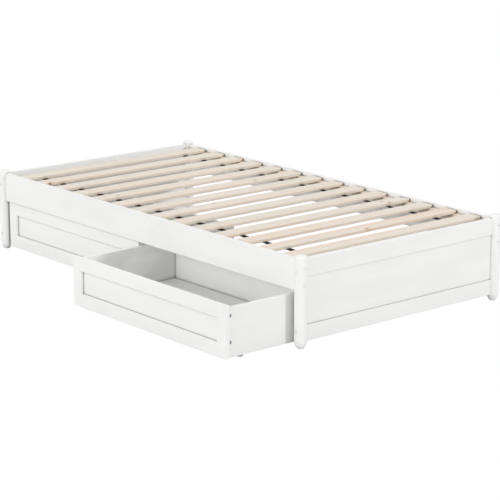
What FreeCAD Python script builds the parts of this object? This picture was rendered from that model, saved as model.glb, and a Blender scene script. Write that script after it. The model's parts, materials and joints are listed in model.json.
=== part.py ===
import FreeCAD, Part
import math
import os
import Sketcher
from FreeCAD import Placement, Rotation, Vector

# Platform bed, twin size, with two storage drawers that roll on the floor along its drawer side.
# X runs from the head (-X) to the foot (+X), the drawers open towards -Y, +Z is up.
# The origin is on the floor, in the middle of the footprint with the foot drawer partly open.

doc = FreeCAD.newDocument("PlatformBed")

sizes = {
    # the frame
    "inner_length": 1924,
    "inner_width": 996,
    "bed_height": 349,
    "post_diameter": 47.6,
    "post_foot_diameter": 21.5,
    "post_foot_height": 29,
    "post_top_rounding": 6,
    "rail_thickness": 19,
    "rail_edge_rounding": 1.5,
    "rail_drop": 13,
    "side_rail_height": 120,
    "end_top_rail_height": 66.5,
    "end_bottom_rail_height": 62,
    "end_board_clearance": 26,
    "panel_thickness": 9,
    "panel_recess": 5,
    "panel_edge_rounding": 0.5,
    "panel_groove_depth": 8,
    "groove_slack": 0.2,
    # the slats and what carries them
    "slat_width": 68,
    "slat_thickness": 12,
    "slat_drop": 4.5,
    "slat_end_gap": 4,
    "slat_corner_rounding": 8,
    "slat_edge_rounding": 2,
    "slat_head_gap": 72,
    "slat_foot_gap": 50,
    "cleat_width": 26,
    "cleat_height": 26,
    "cleat_end_gap": 2,
    "strap_width": 25,
    "strap_thickness": 1.2,
    "strap_drawer_side_inset": 87,
    "strap_wall_side_inset": 115,
    "strap_overrun": 20,
    # bed bolts, barrel nuts, caps, dowels and cleat screws
    "bolt_diameter": 6,
    "bolt_hole_diameter": 6.4,
    "bolt_head_diameter": 12,
    "bolt_head_height": 3,
    "bolt_reach": 38,
    "bolt_hole_spare": 3,
    "counterbore_diameter": 14.4,
    "counterbore_depth": 10,
    "nut_diameter": 10,
    "nut_hole_diameter": 10.2,
    "nut_length": 14,
    "nut_setback": 30,
    "nut_hole_spare": 0.2,
    "cap_diameter": 14,
    "cap_length": 5,
    "cap_proud": 1.5,
    "cap_dome_radius": 17,
    "side_bolt_spacing": 65,
    "end_bolt_inset": 19,
    "dowel_diameter": 8,
    "dowel_length": 36,
    "dowel_post_depth": 12,
    "dowel_hole_spare": 0.5,
    "end_dowel_inset": 18,
    "cleat_screw_diameter": 4,
    "cleat_screw_head": 8,
    "cleat_screw_head_height": 2.4,
    "cleat_screw_length": 38,
    "cleat_screw_inset": 120,
    # the drawers
    "front_thickness": 18.5,
    "front_setback": 9.5,
    "front_floor_gap": 14.5,
    "front_top_gap": 3.5,
    "front_post_gap": 6.7,
    "front_middle_gap": 15,
    "front_border": 50,
    "front_recess": 10,
    "front_bevel": 5,
    "front_edge_rounding": 1.5,
    "drawer_open": 327,
    "box_depth": 481,
    "box_top_drop": 10,
    "box_floor_gap": 16.5,
    "box_end_inset": 6,
    "box_board": 15,
    "box_edge_rounding": 1,
    "box_bottom_thickness": 9,
    "box_groove_depth": 6,
    # drawer screws
    "screw_diameter": 5,
    "screw_hole_diameter": 5.1,
    "screw_head_diameter": 13,
    "screw_head_height": 1.6,
    "screw_head_proud": 0.4,
    "screw_length": 48,
    "screw_top_inset": 30,
    "screw_bottom_inset": 57,
    "front_screw_diameter": 4,
    "front_screw_head": 9,
    "front_screw_head_height": 2,
    "front_screw_length": 24,
    "front_screw_inset": 120,
    "front_screw_top_inset": 14,
    "front_screw_bottom_inset": 9,
    # floor casters
    "wheel_diameter": 30,
    "wheel_width": 14,
    "wheel_top_gap": 3,
    "wheel_rounding": 2.5,
    "wheel_web_depth": 2,
    "wheel_rim": 4,
    "wheel_hub_diameter": 11,
    "axle_diameter": 5,
    "axle_running_gap": 0.08,
    "axle_head_diameter": 8,
    "axle_head_height": 1.2,
    "bracket_sheet": 2,
    "bracket_side_gap": 1,
    "bracket_length": 46,
    "bracket_leg_radius": 7,
    "caster_side_gap": 0.8,
    "caster_end_inset": 75,
}
slat_count = 14
cleat_screw_count = 6

sheet = doc.addObject("Spreadsheet::Sheet", "Sizes")
for row, (alias, value) in enumerate(sizes.items(), start=1):
    sheet.set(f"A{row}", alias)
    sheet.set(f"B{row}", str(value))
    sheet.setAlias(f"B{row}", alias)
doc.recompute()

# Lengths worked out from the sheet, as expressions that the objects are bound to.
post_radius = "Sizes.post_diameter / 2"
post_x = "(Sizes.inner_length + Sizes.rail_thickness) / 2"
post_y = "(Sizes.inner_width + Sizes.rail_thickness) / 2"
rail_top = "(Sizes.bed_height - Sizes.rail_drop)"
side_rail_bottom = f"({rail_top} - Sizes.side_rail_height)"
end_panel_top = f"({rail_top} - Sizes.end_top_rail_height)"
end_panel_bottom = "(Sizes.end_board_clearance + Sizes.end_bottom_rail_height)"
slat_top = f"({rail_top} - Sizes.slat_drop)"
slat_underside = f"({slat_top} - Sizes.slat_thickness)"
slat_pitch = ("((Sizes.inner_length - Sizes.slat_head_gap - Sizes.slat_foot_gap - Sizes.slat_width)"
              f" / {slat_count - 1})")
first_slat_x = "(Sizes.slat_head_gap + Sizes.slat_width / 2 - Sizes.inner_length / 2)"
front_face_y = "(Sizes.inner_width / 2 + Sizes.rail_thickness - Sizes.front_setback)"
# The bed's middle stands back from the origin by half of what the open drawer adds to the footprint.
bed_y = f"(({front_face_y} + Sizes.drawer_open - {post_y} - {post_radius} - Sizes.cap_proud) / 2)"
front_width = f"({post_x} - {post_radius} - Sizes.front_post_gap - Sizes.front_middle_gap / 2)"
front_height = f"({side_rail_bottom} - Sizes.front_top_gap - Sizes.front_floor_gap)"
drawer_x = f"(Sizes.front_middle_gap / 2 + {front_width} / 2)"
box_width = f"({front_width} - 2 * Sizes.box_end_inset)"
box_inner_width = f"({box_width} - 2 * Sizes.box_board)"
box_top = f"({side_rail_bottom} - Sizes.front_top_gap - Sizes.box_top_drop)"
box_height = f"({box_top} - Sizes.box_floor_gap)"
box_bottom_height = "(Sizes.wheel_diameter + Sizes.wheel_top_gap + Sizes.bracket_sheet)"
axle_height = "Sizes.wheel_diameter / 2"
bracket_half_width = "(Sizes.wheel_width / 2 + Sizes.bracket_side_gap + Sizes.bracket_sheet)"
caster_side_inset = ("(Sizes.box_board + Sizes.caster_side_gap + Sizes.axle_head_height"
                     f" + {bracket_half_width})")

sub_parts = []


def bind(thing, **expressions):
    for name, expression in expressions.items():
        thing.setExpression(name, expression)
    return thing


def place(thing, x="0", y="0", z="0", turn=None):
    """Put an object where the expressions say, after a fixed turn about its own origin."""
    if turn is not None:
        thing.Placement = Placement(Vector(), turn)
    for axis, expression in zip("xyz", (x, y, z)):
        thing.setExpression(f"Placement.Base.{axis}", expression)
    return thing


def keep(thing, label):
    """Give a finished sub-part the label that names its file."""
    thing.Label = label
    sub_parts.append(thing)
    return thing


def signed(sign, expression):
    return f"{sign} * ({expression})"


# Sketches and boards

def new_sketch(body, role):
    sketch = body.newObject("Sketcher::SketchObject", body.Name + "_sketch")
    plane = next(item for item in body.Origin.OriginFeatures if item.Role == role)
    sketch.AttachmentSupport = [(plane, "")]
    sketch.MapMode = "FlatFace"
    return sketch


def dimension(sketch, kind, geometry, drawn, expression):
    """Add a driving dimension at its drawn value and bind it to its expression."""
    index = sketch.addConstraint(Sketcher.Constraint(kind, *geometry, drawn))
    sketch.setExpression(f"Constraints[{index}]", expression)


def draw_sharp_rectangle(sketch, width, height):
    """A rectangle centred on the sketch's origin."""
    right, top = 20.0, 15.0
    corners = [Vector(side * right, end * top, 0) for side, end in ((1, 1), (-1, 1), (-1, -1), (1, -1))]
    lines = []
    for index, corner in enumerate(corners):
        following = corners[(index + 1) % 4]
        lines.append(sketch.addGeometry(Part.LineSegment(corner, following)))
    for index in range(4):
        following = (index + 1) % 4
        sketch.addConstraint(Sketcher.Constraint("Coincident", lines[index], 2, lines[following], 1))
        kind = "Horizontal" if index % 2 == 0 else "Vertical"
        sketch.addConstraint(Sketcher.Constraint(kind, lines[index]))
    sketch.addConstraint(Sketcher.Constraint("Symmetric", lines[0], 1, lines[2], 1, -1, 1))
    dimension(sketch, "DistanceX", (lines[1], 1, lines[3], 1), 2 * right, width)
    dimension(sketch, "DistanceY", (lines[2], 1, lines[0], 1), 2 * top, height)


def draw_rounded_rectangle(sketch, width, height, rounding):
    """A rectangle with rounded corners, centred on the sketch's origin."""
    right, top, radius = 20.0, 15.0, 3.0
    arcs = []
    for index, (side, end) in enumerate([(1, 1), (-1, 1), (-1, -1), (1, -1)]):
        centre = Vector(side * (right - radius), end * (top - radius), 0)
        circle = Part.Circle(centre, Vector(0, 0, 1), radius)
        start = index * math.pi / 2
        arcs.append(sketch.addGeometry(Part.ArcOfCircle(circle, start, start + math.pi / 2)))
    lines = []
    for index in range(4):
        start = sketch.Geometry[arcs[index]].EndPoint
        end = sketch.Geometry[arcs[(index + 1) % 4]].StartPoint
        lines.append(sketch.addGeometry(Part.LineSegment(start, end)))
    for index in range(4):
        following = (index + 1) % 4
        sketch.addConstraint(Sketcher.Constraint("Tangent", arcs[index], 2, lines[index], 1))
        sketch.addConstraint(Sketcher.Constraint("Tangent", lines[index], 2, arcs[following], 1))
        kind = "Horizontal" if index % 2 == 0 else "Vertical"
        sketch.addConstraint(Sketcher.Constraint(kind, lines[index]))
    for index in range(1, 4):
        sketch.addConstraint(Sketcher.Constraint("Equal", arcs[0], arcs[index]))
    sketch.addConstraint(Sketcher.Constraint("Symmetric", arcs[0], 3, arcs[2], 3, -1, 1))
    dimension(sketch, "DistanceX", (lines[1], 1, lines[3], 1), 2 * right, width)
    dimension(sketch, "DistanceY", (lines[2], 1, lines[0], 1), 2 * top, height)
    dimension(sketch, "Radius", (arcs[0],), radius, rounding)


def board(name, along, length, thickness, height, rounding):
    """A board with eased long edges, centred on its own origin, running along X or Y."""
    body = doc.addObject("PartDesign::Body", name)
    sketch = new_sketch(body, "YZ_Plane" if along == "X" else "XZ_Plane")
    draw_rounded_rectangle(sketch, thickness, height, rounding)
    pad = body.newObject("PartDesign::Pad", name + "_pad")
    pad.Profile = sketch
    pad.SideType = "Symmetric"
    bind(pad, Length=length)
    return body


# Plain solids and cuts

turns = {
    "+X": Rotation(Vector(0, 1, 0), 90),
    "-X": Rotation(Vector(0, 1, 0), -90),
    "+Y": Rotation(Vector(1, 0, 0), -90),
    "-Y": Rotation(Vector(1, 0, 0), 90),
    "+Z": Rotation(),
}


def block(name, length, width, height, x="0", y="0", z="0"):
    """A box centred on a point."""
    solid = doc.addObject("Part::Box", name)
    bind(solid, Length=length, Width=width, Height=height)
    return place(solid, f"{x} - ({length}) / 2", f"{y} - ({width}) / 2", f"{z} - ({height}) / 2")


def rod(name, diameter, length, direction, x="0", y="0", z="0"):
    """A cylinder that starts at a point and runs in a direction."""
    solid = doc.addObject("Part::Cylinder", name)
    bind(solid, Radius=f"({diameter}) / 2", Height=length)
    return place(solid, x, y, z, turns[direction])


def join(name, solids):
    fused = doc.addObject("Part::MultiFuse", name)
    fused.Shapes = solids
    return fused


def group(name, solids):
    compound = doc.addObject("Part::Compound", name)
    compound.Links = solids
    return compound


def cut(name, base, tools):
    result = doc.addObject("Part::Cut", name)
    result.Base = base
    result.Tool = tools[0] if len(tools) == 1 else join(name + "_tools", tools)
    return result


def direction_of(sign, axis):
    return ("+" if sign > 0 else "-") + axis


# Posts: turned, with a rounded foot, drilled for bolts and dowels

bolt_seat = f"({post_radius} - Sizes.counterbore_depth)"
side_rail_middle = f"({rail_top} - Sizes.side_rail_height / 2)"
end_top_middle = f"({rail_top} - Sizes.end_top_rail_height / 2)"
end_bottom_middle = "(Sizes.end_board_clearance + Sizes.end_bottom_rail_height / 2)"
side_bolt_heights = [f"({side_rail_middle} {sign} Sizes.side_bolt_spacing / 2)" for sign in "+-"]
end_bolt_heights = {
    "top": f"({end_panel_top} + Sizes.end_bolt_inset)",
    "bottom": f"({end_panel_bottom} - Sizes.end_bolt_inset)",
}
end_dowel_heights = {
    "top": f"({rail_top} - Sizes.end_dowel_inset)",
    "bottom": "(Sizes.end_board_clearance + Sizes.end_dowel_inset)",
}


def turned_post(name):
    body = doc.addObject("PartDesign::Body", name)
    sketch = new_sketch(body, "XZ_Plane")
    foot = sizes["post_foot_diameter"] / 2
    radius = sizes["post_diameter"] / 2
    rise = sizes["post_foot_height"]
    rounding = sizes["post_top_rounding"]
    top = sizes["bed_height"]
    swell = ((radius - foot) ** 2 + rise ** 2) / (2 * (radius - foot))
    foot_circle = Part.Circle(Vector(radius - swell, rise, 0), Vector(0, 0, 1), swell)
    top_circle = Part.Circle(Vector(radius - rounding, top - rounding, 0), Vector(0, 0, 1), rounding)
    foot_angle = -math.asin(rise / swell)
    outline = [
        Part.LineSegment(Vector(0, 0, 0), Vector(foot, 0, 0)),
        Part.ArcOfCircle(foot_circle, foot_angle, 0),
        Part.LineSegment(Vector(radius, rise, 0), Vector(radius, top - rounding, 0)),
        Part.ArcOfCircle(top_circle, 0, math.pi / 2),
        Part.LineSegment(Vector(radius - rounding, top, 0), Vector(0, top, 0)),
        Part.LineSegment(Vector(0, top, 0), Vector(0, 0, 0)),
    ]
    base, foot_arc, wall, top_arc, lid, axis = [sketch.addGeometry(item) for item in outline]
    for kind, geometry in [
        ("Coincident", (base, 1, -1, 1)),
        ("Coincident", (base, 2, foot_arc, 1)),
        ("Tangent", (foot_arc, 2, wall, 1)),
        ("Tangent", (wall, 2, top_arc, 1)),
        ("Tangent", (top_arc, 2, lid, 1)),
        ("Coincident", (lid, 2, axis, 1)),
        ("Coincident", (axis, 2, base, 1)),
        ("Horizontal", (base,)),
        ("Vertical", (wall,)),
        ("Horizontal", (lid,)),
        ("Vertical", (axis,)),
    ]:
        sketch.addConstraint(Sketcher.Constraint(kind, *geometry))
    dimension(sketch, "DistanceX", (base, 1, base, 2), foot, "Sizes.post_foot_diameter / 2")
    dimension(sketch, "DistanceX", (base, 1, wall, 1), radius, post_radius)
    dimension(sketch, "DistanceY", (base, 1, wall, 1), rise, "Sizes.post_foot_height")
    dimension(sketch, "Radius", (top_arc,), rounding, "Sizes.post_top_rounding")
    dimension(sketch, "DistanceY", (base, 1, lid, 2), top, "Sizes.bed_height")
    revolution = body.newObject("PartDesign::Revolution", name + "_revolution")
    revolution.Profile = sketch
    revolution.ReferenceAxis = (sketch, ["V_Axis"])
    revolution.Angle = 360
    return body


def post_drill(outward, axis, height):
    """A bolt hole right through the post, with a counterbore on its outward side."""
    outside = signed(outward, post_radius)
    seat = signed(outward, bolt_seat)
    inward = direction_of(-outward, axis)
    at = {"x": outside} if axis == "X" else {"y": outside}
    seat_at = {"x": seat} if axis == "X" else {"y": seat}
    bore = rod("counterbore", "Sizes.counterbore_diameter", "Sizes.counterbore_depth", inward, z=height, **at)
    hole = rod("bolt_hole", "Sizes.bolt_hole_diameter", "Sizes.post_diameter", inward, z=height, **seat_at)
    return [bore, hole]


def post_dowel_hole(outward, axis, height):
    inside = signed(-outward, post_radius)
    at = {"x": inside} if axis == "X" else {"y": inside}
    depth = "Sizes.dowel_post_depth + Sizes.dowel_hole_spare"
    return rod("dowel_hole", "Sizes.dowel_diameter", depth, direction_of(outward, axis), z=height, **at)


def make_post(label, end, side):
    tools = []
    for height in side_bolt_heights:
        tools += post_drill(end, "X", height)
    for height in end_bolt_heights.values():
        tools += post_drill(side, "Y", height)
    tools.append(post_dowel_hole(end, "X", side_rail_middle))
    for height in end_dowel_heights.values():
        tools.append(post_dowel_hole(side, "Y", height))
    post = cut(label, turned_post(label + "_turning"), tools)
    place(post, signed(end, post_x), f"{bed_y} + {signed(side, post_y)}")
    keep(post, label)


# Rails: coped to the posts, bored for bolts, barrel nuts and dowels

def cope_tools(along, reach, height):
    """Cylinders the size of the posts, at both ends of a board."""
    tools = []
    for end in (-1, 1):
        at = {"x": signed(end, reach)} if along == "X" else {"y": signed(end, reach)}
        tools.append(rod("cope", "Sizes.post_diameter", height, "+Z", z=f"-({height}) / 2", **at))
    return tools


def rail_bore_tools(along, reach, inward, bolt_levels, dowel_levels):
    """Bolt and dowel holes in both ends of a rail, and barrel nut holes from its inner face."""
    across = "Y" if along == "X" else "X"
    tools = []
    for end in (-1, 1):
        into = direction_of(-end, along)
        start = signed(end, reach)
        at = {"x": start} if along == "X" else {"y": start}
        nut_at = signed(end, f"{reach} - {post_radius} - Sizes.nut_setback")
        face = signed(inward, "Sizes.rail_thickness / 2")
        nut_point = {"x": nut_at, "y": face} if along == "X" else {"x": face, "y": nut_at}
        for level in bolt_levels:
            length = f"{post_radius} + Sizes.bolt_reach + Sizes.bolt_hole_spare"
            tools.append(rod("bolt_hole", "Sizes.bolt_hole_diameter", length, into, z=level, **at))
            depth = "(Sizes.rail_thickness + Sizes.nut_length) / 2 + Sizes.nut_hole_spare"
            direction = direction_of(-inward, across)
            tools.append(rod("nut_hole", "Sizes.nut_hole_diameter", depth, direction, z=level, **nut_point))
        for level in dowel_levels:
            length = f"{post_radius} + Sizes.dowel_length - Sizes.dowel_post_depth + Sizes.dowel_hole_spare"
            tools.append(rod("dowel_hole", "Sizes.dowel_diameter", length, into, z=level, **at))
    return tools


def cleat_screw_positions():
    """Screw places along a cleat, from its middle."""
    span = f"({post_x} - {post_radius} - Sizes.cleat_end_gap - Sizes.cleat_screw_inset)"
    return [f"({2 * index / (cleat_screw_count - 1) - 1} * {span})" for index in range(cleat_screw_count)]


def make_side_rail(label, side):
    rail = board(label + "_board", "X", f"2 * {post_x}", "Sizes.rail_thickness", "Sizes.side_rail_height",
                 "Sizes.rail_edge_rounding")
    levels = ["Sizes.side_bolt_spacing / 2", "-Sizes.side_bolt_spacing / 2"]
    tools = cope_tools("X", post_x, "Sizes.side_rail_height")
    tools += rail_bore_tools("X", post_x, -side, levels, ["0"])
    cleat_level = f"{slat_underside} - Sizes.cleat_height / 2 - {side_rail_middle}"
    depth = "Sizes.cleat_screw_length - Sizes.cleat_width"
    inner_face = signed(-side, "Sizes.rail_thickness / 2")
    for position in cleat_screw_positions():
        tools.append(rod("screw_hole", "Sizes.cleat_screw_diameter", depth, direction_of(side, "Y"),
                         position, inner_face, cleat_level))
    rail = cut(label, rail, tools)
    place(rail, "0", f"{bed_y} + {signed(side, post_y)}", side_rail_middle)
    keep(rail, label)


def make_end_boards(end_name, end):
    """Top rail, panel and bottom rail of the head or the foot board."""
    x = signed(end, post_x)
    panel_shift = signed(-end, "Sizes.panel_recess + Sizes.panel_thickness / 2 - Sizes.rail_thickness / 2")
    rails = [
        ("top", "Sizes.end_top_rail_height", end_top_middle, -1),
        ("bottom", "Sizes.end_bottom_rail_height", end_bottom_middle, 1),
    ]
    for name, height, middle, panel_side in rails:
        label = f"{end_name}_{name}_rail"
        rail = board(label + "_board", "Y", f"2 * {post_y}", "Sizes.rail_thickness", height,
                     "Sizes.rail_edge_rounding")
        tools = cope_tools("Y", post_y, height)
        tools += rail_bore_tools("Y", post_y, -end, [f"{end_bolt_heights[name]} - {middle}"],
                                 [f"{end_dowel_heights[name]} - {middle}"])
        depth = "(Sizes.panel_groove_depth + Sizes.groove_slack)"
        groove_width = "Sizes.panel_thickness + 2 * Sizes.groove_slack"
        groove_middle = signed(panel_side, f"({height} - {depth}) / 2")
        tools.append(block("groove", groove_width, f"2 * {post_y}", depth, panel_shift, z=groove_middle))
        rail = cut(label, rail, tools)
        place(rail, x, bed_y, middle)
        keep(rail, label)
    label = f"{end_name}_panel"
    height = f"({end_panel_top} - {end_panel_bottom} + 2 * Sizes.panel_groove_depth)"
    panel = board(label + "_board", "Y", f"2 * {post_y}", "Sizes.panel_thickness", height,
                  "Sizes.panel_edge_rounding")
    copes = cope_tools("Y", post_y, height)
    for cope in copes:
        cope.setExpression("Placement.Base.x", signed(-1, panel_shift))
    panel = cut(label, panel, copes)
    place(panel, f"{x} + {panel_shift}", bed_y, f"({end_panel_top} + {end_panel_bottom}) / 2")
    keep(panel, label)


# Slats, the cleats they rest on and the straps that space them

def make_slat(index):
    label = f"slat_{index + 1:02d}"
    body = doc.addObject("PartDesign::Body", label)
    sketch = new_sketch(body, "XY_Plane")
    length = "(Sizes.inner_width - 2 * Sizes.slat_end_gap)"
    draw_rounded_rectangle(sketch, "Sizes.slat_width", length, "Sizes.slat_corner_rounding")
    pad = body.newObject("PartDesign::Pad", label + "_pad")
    pad.Profile = sketch
    bind(pad, Length="Sizes.slat_thickness")
    doc.recompute()
    rims = []
    for number, edge in enumerate(pad.Shape.Edges, start=1):
        if edge.BoundBox.ZLength < 0.01:
            rims.append(f"Edge{number}")
    easing = body.newObject("PartDesign::Fillet", label + "_easing")
    easing.Base = (pad, rims)
    bind(easing, Radius="Sizes.slat_edge_rounding")
    place(body, f"{first_slat_x} + {index} * {slat_pitch}", bed_y, slat_underside)
    keep(body, label)


def make_cleat(label, side):
    length = f"2 * ({post_x} - {post_radius} - Sizes.cleat_end_gap)"
    cleat = board(label + "_board", "X", length, "Sizes.cleat_width", "Sizes.cleat_height",
                  "Sizes.rail_edge_rounding")
    inner_face = signed(-side, "Sizes.cleat_width / 2")
    tools = []
    for position in cleat_screw_positions():
        tools.append(rod("screw_hole", "Sizes.cleat_screw_diameter", "Sizes.cleat_width",
                         direction_of(side, "Y"), position, inner_face))
    cleat = cut(label, cleat, tools)
    middle = signed(side, "Sizes.inner_width / 2 - Sizes.cleat_width / 2")
    place(cleat, "0", f"{bed_y} + {middle}", f"{slat_underside} - Sizes.cleat_height / 2")
    keep(cleat, label)


def make_cleat_screws():
    screws = []
    for side in (-1, 1):
        face = signed(side, "Sizes.inner_width / 2 - Sizes.cleat_width")
        for position in cleat_screw_positions():
            shank = rod("cleat_shank", "Sizes.cleat_screw_diameter", "Sizes.cleat_screw_length",
                        direction_of(side, "Y"), position, face)
            head = rod("cleat_head", "Sizes.cleat_screw_head", "Sizes.cleat_screw_head_height",
                       direction_of(-side, "Y"), position, face)
            screws.append(join("cleat_screw", [shank, head]))
    screws = group("cleat_screws", screws)
    place(screws, "0", bed_y, f"{slat_underside} - Sizes.cleat_height / 2")
    keep(screws, "cleat_screws")


def make_straps():
    length = f"({slat_count - 1} * {slat_pitch} + 2 * Sizes.strap_overrun)"
    straps = []
    for side, inset in ((-1, "Sizes.strap_drawer_side_inset"), (1, "Sizes.strap_wall_side_inset")):
        y = signed(side, f"Sizes.inner_width / 2 - {inset} - Sizes.strap_width / 2")
        straps.append(block("strap", length, "Sizes.strap_width", "Sizes.strap_thickness", y=y))
    straps = group("slat_straps", straps)
    middle = f"{first_slat_x} + {slat_count - 1} * {slat_pitch} / 2"
    place(straps, middle, bed_y, f"{slat_underside} - Sizes.strap_thickness / 2")
    keep(straps, "slat_straps")


# Bed bolts with their barrel nuts, caps and the dowels beside them

def corner_joints():
    """Each bolted joint's end, side, axis, outward sign and height, at all four posts."""
    joints = []
    for end in (-1, 1):
        for side in (-1, 1):
            for height in side_bolt_heights:
                joints.append((end, side, "X", end, height))
            for height in end_bolt_heights.values():
                joints.append((end, side, "Y", side, height))
    return joints


def from_post(end, side, axis, outward, distance):
    """A point that stands off a post's axis, outwards along the joint's own axis."""
    x = signed(end, post_x)
    y = signed(side, post_y)
    offset = signed(outward, distance)
    return (f"{x} + {offset}", y) if axis == "X" else (x, f"{y} + {offset}")


def make_bed_hardware():
    bolts, nuts, caps = [], [], []
    for end, side, axis, outward, height in corner_joints():
        inward = direction_of(-outward, axis)
        x, y = from_post(end, side, axis, outward, bolt_seat)
        shank = rod("bolt_shank", "Sizes.bolt_diameter", f"{bolt_seat} + {post_radius} + Sizes.bolt_reach",
                    inward, x, y, height)
        head = rod("bolt_head", "Sizes.bolt_head_diameter", "Sizes.bolt_head_height",
                   direction_of(outward, axis), x, y, height)
        bolts.append(join("bolt", [shank, head]))
        x, y = from_post(end, side, axis, -outward, f"{post_radius} + Sizes.nut_setback")
        across = "Y" if axis == "X" else "X"
        start = {"x": x, "y": y}
        start[across.lower()] += " - Sizes.nut_length / 2"
        barrel = rod("nut_barrel", "Sizes.nut_diameter", "Sizes.nut_length", "+" + across, z=height, **start)
        start = {"x": x, "y": y}
        start[axis.lower()] += " - Sizes.nut_diameter"
        thread = rod("nut_thread", "Sizes.bolt_diameter", "2 * Sizes.nut_diameter", "+" + axis,
                     z=height, **start)
        nuts.append(cut("barrel_nut", barrel, [thread]))
        x, y = from_post(end, side, axis, outward, f"{post_radius} + Sizes.cap_proud")
        plug = rod("cap_plug", "Sizes.cap_diameter", "Sizes.cap_length", inward, x, y, height)
        dome = doc.addObject("Part::Sphere", "cap_dome")
        bind(dome, Radius="Sizes.cap_dome_radius")
        centre = f"{post_radius} + Sizes.cap_proud - Sizes.cap_dome_radius"
        x, y = from_post(end, side, axis, outward, centre)
        place(dome, x, y, height)
        cap = doc.addObject("Part::Common", "cap")
        cap.Base = plug
        cap.Tool = dome
        caps.append(cap)
    for label, solids in (("bed_bolts", bolts), ("barrel_nuts", nuts), ("bolt_caps", caps)):
        keep(place(group(label, solids), "0", bed_y), label)


def make_dowels():
    dowels = []
    for end in (-1, 1):
        for side in (-1, 1):
            places = [("X", end, side_rail_middle)]
            places += [("Y", side, height) for height in end_dowel_heights.values()]
            for axis, outward, height in places:
                x, y = from_post(end, side, axis, -outward, f"{post_radius} - Sizes.dowel_post_depth")
                dowels.append(rod("dowel", "Sizes.dowel_diameter", "Sizes.dowel_length",
                                  direction_of(-outward, axis), x, y, height))
    keep(place(group("rail_dowels", dowels), "0", bed_y), "rail_dowels")


# Drawers: every piece is drawn about its own middle and placed from the drawer's front face

box_middle_z = f"(({box_top} + Sizes.box_floor_gap) / 2)"
bottom_middle_z = f"({box_bottom_height} + Sizes.box_bottom_thickness / 2)"
groove_height = "Sizes.box_bottom_thickness + 2 * Sizes.groove_slack"
corner_screw_levels = [
    f"({box_top} - Sizes.screw_top_inset)",
    "(Sizes.box_floor_gap + Sizes.screw_bottom_inset)",
]
screw_sink = "(Sizes.screw_head_height - Sizes.screw_head_proud)"
corner_screw_y = "(Sizes.box_depth - Sizes.box_board) / 2"
front_screw_levels = [
    f"({box_top} - Sizes.front_screw_top_inset)",
    "(Sizes.box_floor_gap + Sizes.front_screw_bottom_inset)",
]


def front_screw_places():
    reach = f"({front_width} / 2 - Sizes.front_screw_inset)"
    return [(signed(side, reach), level) for side in (-1, 1) for level in front_screw_levels]


def face_edges(shape, outer):
    """Names of the edges in the front face: those of its outline, or those of the opening."""
    bounds = shape.BoundBox
    names = []
    for number, edge in enumerate(shape.Edges, start=1):
        box = edge.BoundBox
        across = min(box.XMin - bounds.XMin, bounds.XMax - box.XMax)
        upright = min(box.ZMin - bounds.ZMin, bounds.ZMax - box.ZMax)
        in_face = box.YMax < bounds.YMin + 0.01
        on_outline = min(across, upright) < 0.01
        if in_face and on_outline == outer:
            names.append(f"Edge{number}")
    return names


def make_front(label, x, face_y):
    body = doc.addObject("PartDesign::Body", label + "_blank")
    outline = new_sketch(body, "XZ_Plane")
    draw_sharp_rectangle(outline, front_width, front_height)
    pad = body.newObject("PartDesign::Pad", label + "_pad")
    pad.Profile = outline
    bind(pad, Length="Sizes.front_thickness")
    opening = new_sketch(body, "XZ_Plane")
    opening.setExpression("AttachmentOffset.Base.z", "Sizes.front_thickness")
    draw_sharp_rectangle(opening, f"{front_width} - 2 * Sizes.front_border - 2 * Sizes.front_bevel",
                         f"{front_height} - 2 * Sizes.front_border - 2 * Sizes.front_bevel")
    pocket = body.newObject("PartDesign::Pocket", label + "_recess")
    pocket.Profile = opening
    bind(pocket, Length="Sizes.front_recess")
    doc.recompute()
    bevel = body.newObject("PartDesign::Chamfer", label + "_bevel")
    bevel.Base = (pocket, face_edges(pocket.Shape, outer=False))
    bind(bevel, Size="Sizes.front_bevel")
    doc.recompute()
    easing = body.newObject("PartDesign::Fillet", label + "_easing")
    easing.Base = (bevel, face_edges(bevel.Shape, outer=True))
    bind(easing, Radius="Sizes.front_edge_rounding")
    middle_z = f"(Sizes.front_floor_gap + {front_height} / 2)"
    depth = "Sizes.front_screw_length - Sizes.box_board"
    tools = []
    for position, level in front_screw_places():
        tools.append(rod("screw_hole", "Sizes.front_screw_diameter", depth, "-Y", position, "0",
                         f"{level} - {middle_z}"))
    front = cut(label, body, tools)
    place(front, x, f"{face_y} + Sizes.front_thickness", middle_z)
    keep(front, label)


groove_middle = "(Sizes.box_board - Sizes.box_groove_depth) / 2"
groove_level = f"{bottom_middle_z} - {box_middle_z}"


def make_cross_board(label, x, y, inward):
    """The box's inner front or its back, between the sides."""
    piece = board(label + "_board", "X", box_inner_width, "Sizes.box_board", box_height,
                  "Sizes.box_edge_rounding")
    tools = [block("groove", box_inner_width, "Sizes.box_groove_depth", groove_height,
                   y=signed(inward, groove_middle), z=groove_level)]
    depth = "Sizes.screw_length - Sizes.box_board + Sizes.screw_head_height"
    for side in (-1, 1):
        for level in corner_screw_levels:
            tools.append(rod("screw_hole", "Sizes.screw_diameter", depth, direction_of(-side, "X"),
                             signed(side, f"{box_inner_width} / 2"), "0", f"{level} - {box_middle_z}"))
    if inward > 0:
        for position, level in front_screw_places():
            tools.append(rod("screw_hole", "Sizes.front_screw_diameter", "Sizes.box_board", "+Y", position,
                             "-Sizes.box_board / 2", f"{level} - {box_middle_z}"))
    piece = cut(label, piece, tools)
    place(piece, x, y, box_middle_z)
    keep(piece, label)


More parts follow.
